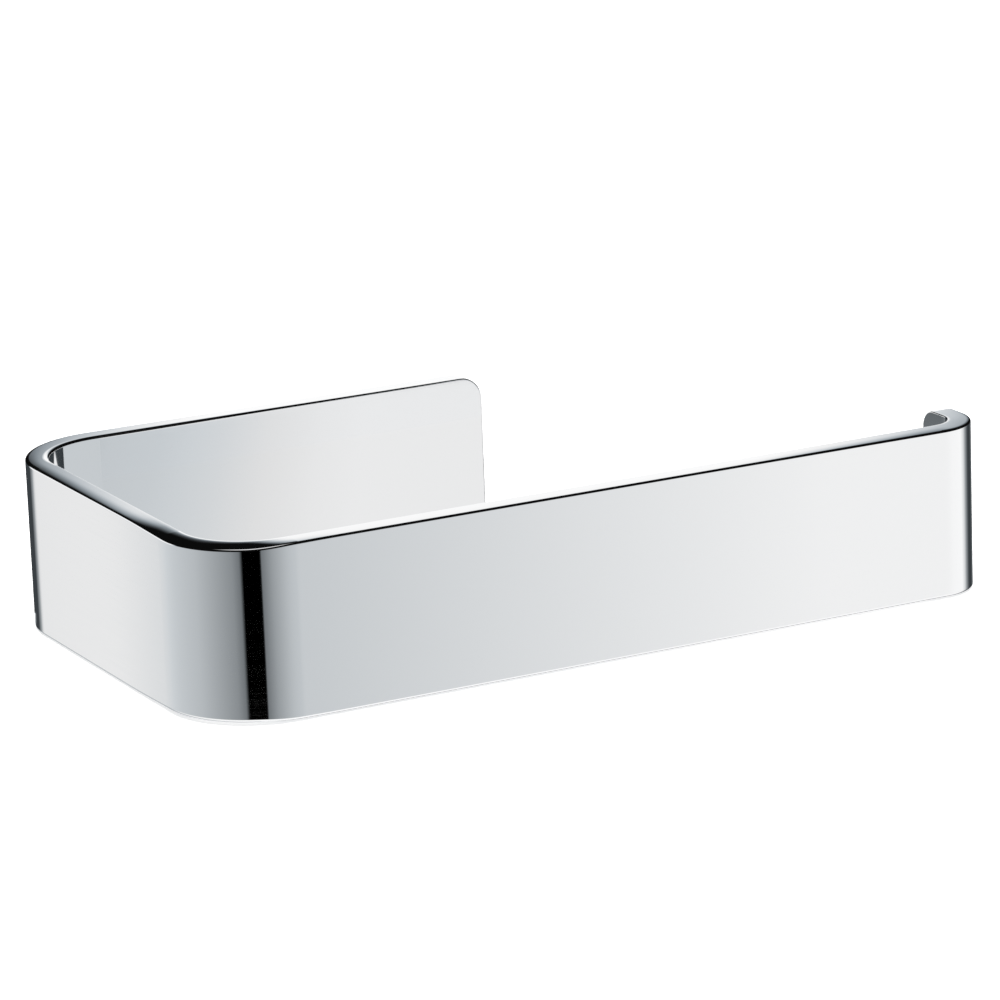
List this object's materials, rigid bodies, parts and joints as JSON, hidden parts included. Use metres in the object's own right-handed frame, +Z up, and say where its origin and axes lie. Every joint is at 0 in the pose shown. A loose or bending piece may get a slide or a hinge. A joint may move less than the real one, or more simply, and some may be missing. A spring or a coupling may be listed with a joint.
{
  "type": "toilet paper holder",
  "caption": "Wall-mounted open toilet roll holder: one flat chromed bar bent round corners into a back plate, a side leg and a roll bar that ends in a short return lip.",
  "frame": {"origin": "on the wall's surface, midway between the two wall screws", "axes": "+X along the roll bar towards its free end, +Y into the wall, +Z up"},
  "size_m": [0.16, 0.1257, 0.032],
  "materials": {
    "polished_chrome": "mirror-polished chrome plate",
    "bracket_steel": "stamped stainless sheet, lightly brushed",
    "screw_steel": "bright zinc plate",
    "plug_nylon": "moulded grey nylon",
    "set_screw_steel": "turned stainless"
  },
  "bodies": {
    "wall_fixing": {"wall_bracket": "bracket_steel", "wall_screw_left": "screw_steel", "wall_screw_right": "screw_steel", "wall_plug_left": "plug_nylon", "wall_plug_right": "plug_nylon"},
    "holder": {"holder_band": "polished_chrome"},
    "set_screw_left": {"set_screw_left": "set_screw_steel"},
    "set_screw_right": {"set_screw_right": "set_screw_steel"}
  },
  "joints": [
    {"name": "holder_pull_off", "type": "slide", "parent": "wall_fixing", "child": "holder", "axis": [0, -1, 0], "range_m": [0, 0.02]},
    {"name": "set_screw_left_travel", "type": "slide", "parent": "holder", "child": "set_screw_left", "axis": [0, 0, -1], "range_m": [0, 0.002]},
    {"name": "set_screw_right_travel", "type": "slide", "parent": "holder", "child": "set_screw_right", "axis": [0, 0, -1], "range_m": [0, 0.002]}
  ]
}
